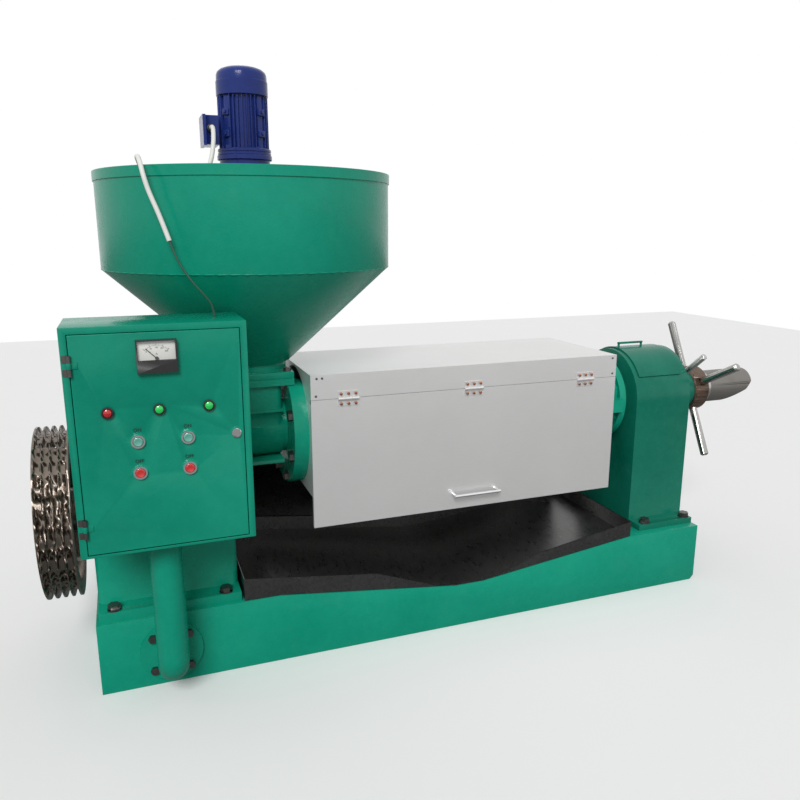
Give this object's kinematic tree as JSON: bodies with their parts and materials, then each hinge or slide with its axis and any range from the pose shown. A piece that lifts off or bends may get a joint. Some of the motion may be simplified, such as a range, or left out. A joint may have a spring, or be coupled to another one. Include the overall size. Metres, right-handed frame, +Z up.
{
  "type": "screw oil press",
  "caption": "Belt-driven screw oil press: stirred seed hopper over a covered pressing cage, oil tray below, control cabinet on a post, and a capstan-set cake outlet.",
  "frame": {"origin": "centre of the base frame's underside, between the four floor bolt holes", "axes": "+X from the belt pulley to the cake outlet, -Y to the operator's side with the cabinet and the oil spout, +Z up"},
  "size_m": [2.5245, 0.917, 1.672],
  "materials": {
    "green_paint": "gloss enamel",
    "stainless": "brushed sheet",
    "tray_steel": "oily bright sheet",
    "turned_steel": "turned, uncoated",
    "bright_steel": "bright drawn bar",
    "hardened_steel": "ground",
    "rusty_steel": "turned, lightly rusted",
    "zinc": "zinc plated",
    "motor_blue": "gloss enamel",
    "black_plastic": "moulded",
    "red_plastic": "moulded",
    "green_plastic": "moulded",
    "lamp_plastic": "moulded lens",
    "grey_plastic": "moulded",
    "white_sleeve": "woven sleeve",
    "green_cable": "smooth"
  },
  "bodies": {
    "frame": {"base_front_rail": "green_paint", "base_rear_rail": "green_paint", "base_cross_members": "green_paint", "splash_plate": "stainless", "gearbox_case": "green_paint", "gearbox_top": "green_paint", "gearbox_bearings": "hardened_steel", "gearbox_bearing_caps": "green_paint", "feed_body": "green_paint", "hopper": "green_paint", "motor_beam": "green_paint", "stirrer_gearbox": "motor_blue", "stirrer_motor": "motor_blue", "fan_cowl": "motor_blue", "terminal_box": "motor_blue", "cable_gland": "zinc", "inlet_flange": "green_paint", "cage_lower": "green_paint", "cage_upper": "green_paint", "cage_bars": "hardened_steel", "cage_bolts": "zinc", "cage_end_flange": "green_paint", "end_housing": "green_paint", "cover_shell": "stainless", "cover_hinge_leaves": "stainless", "cabinet_box": "green_paint", "cabinet_hinges": "green_paint", "switchgear": "black_plastic", "cabinet_post": "green_paint", "frame_bolts": "green_paint", "flange_bolts": "green_paint", "cable_sleeve": "white_sleeve", "cable_lead": "green_cable"},
    "oil_tray": {"oil_tray": "tray_steel"},
    "drive": {"pulley": "turned_steel", "input_shaft": "turned_steel"},
    "countershaft": {"intermediate_shaft": "turned_steel"},
    "worm_train": {"main_gear": "turned_steel", "main_shaft": "hardened_steel", "press_worms": "hardened_steel"},
    "stirrer": {"stirrer_shaft": "bright_steel"},
    "lid": {"housing_lid": "green_paint"},
    "jam_ring": {"jam_ring": "turned_steel"},
    "capstan": {"capstan_hub": "rusty_steel", "capstan_rods": "bright_steel"},
    "choke": {"choke_sleeve": "turned_steel", "discharge_hood": "turned_steel"},
    "cover_door": {"cover_door": "stainless", "door_hinge_leaves": "stainless", "door_handle": "stainless"},
    "cabinet_door": {"cabinet_door": "green_paint", "indicator_lamps": "lamp_plastic", "button_bezels": "zinc", "ammeter_case": "grey_plastic"},
    "door_lock": {"door_lock": "zinc"},
    "start_button_left": {"start_button_left": "green_plastic"},
    "start_button_right": {"start_button_right": "green_plastic"},
    "stop_button_left": {"stop_button_left": "red_plastic"},
    "stop_button_right": {"stop_button_right": "red_plastic"},
    "pointer": {"ammeter_pointer": "black_plastic"}
  },
  "joints": [
    {"name": "worm_shaft_spin", "type": "hinge", "parent": "frame", "child": "worm_train", "pos_m": [0, 0, 0.648], "axis": [1, 0, 0], "continuous": true},
    {"name": "countershaft_spin", "type": "hinge", "parent": "frame", "child": "countershaft", "pos_m": [-0.8, 0.07822, 0.51854], "axis": [1, 0, 0], "continuous": true},
    {"name": "input_spin", "type": "hinge", "parent": "frame", "child": "drive", "pos_m": [-1.08, 0, 0.45], "axis": [1, 0, 0], "continuous": true},
    {"name": "stirrer_spin", "type": "hinge", "parent": "frame", "child": "stirrer", "pos_m": [-0.508, 0, 1.4], "axis": [0, 0, 1], "continuous": true},
    {"name": "cover_door_hinge", "type": "hinge", "parent": "frame", "child": "cover_door", "pos_m": [0.129, -0.2154, 0.7635], "axis": [-1, 0, 0], "range_deg": [0, 100]},
    {"name": "cabinet_door_hinge", "type": "hinge", "parent": "frame", "child": "cabinet_door", "pos_m": [-0.98375, -0.4995, 0.7625], "axis": [0, 0, -1], "range_deg": [0, 110]},
    {"name": "door_lock_turn", "type": "hinge", "parent": "cabinet_door", "child": "door_lock", "pos_m": [-0.635, -0.494, 0.769], "axis": [0, -1, 0], "range_deg": [0, 90]},
    {"name": "start_button_left_press", "type": "slide", "parent": "cabinet_door", "child": "start_button_left", "axis": [0, 1, 0], "range_m": [0, 0.004], "stiffness_N_per_m": 400},
    {"name": "start_button_right_press", "type": "slide", "parent": "cabinet_door", "child": "start_button_right", "axis": [0, 1, 0], "range_m": [0, 0.004], "stiffness_N_per_m": 400},
    {"name": "stop_button_left_press", "type": "slide", "parent": "cabinet_door", "child": "stop_button_left", "axis": [0, 1, 0], "range_m": [0, 0.004], "stiffness_N_per_m": 400},
    {"name": "stop_button_right_press", "type": "slide", "parent": "cabinet_door", "child": "stop_button_right", "axis": [0, 1, 0], "range_m": [0, 0.004], "stiffness_N_per_m": 400},
    {"name": "pointer_swing", "type": "hinge", "parent": "cabinet_door", "child": "pointer", "pos_m": [-0.802, -0.4998, 0.9583], "axis": [0, 1, 0], "range_deg": [0, 90], "stiffness_Nm_per_rad": 0.0005},
    {"name": "capstan_turn", "type": "hinge", "parent": "frame", "child": "capstan", "pos_m": [1.1355, 0, 0.648], "axis": [1, 0, 0], "range_deg": [0, 720]},
    {"name": "choke_slide", "type": "slide", "parent": "frame", "child": "choke", "axis": [-1, 0, 0], "range_m": [0, 0.012]},
    {"name": "jam_ring_turn", "type": "hinge", "parent": "frame", "child": "jam_ring", "pos_m": [1.03, 0, 0.648], "axis": [1, 0, 0], "range_deg": [-40, 40]},
    {"name": "lid_lift", "type": "slide", "parent": "frame", "child": "lid", "axis": [0, 0, 1], "range_m": [0, 0.25]},
    {"name": "tray_slide", "type": "slide", "parent": "frame", "child": "oil_tray", "axis": [0, -1, 0], "range_m": [0, 0.4]}
  ],
  "couplings": [
    {"joint": "countershaft_spin", "follows": "worm_shaft_spin", "ratio": -4},
    {"joint": "input_spin", "follows": "worm_shaft_spin", "ratio": 12},
    {"joint": "choke_slide", "follows": "capstan_turn", "m_per_rad": 0.000954}
  ]
}
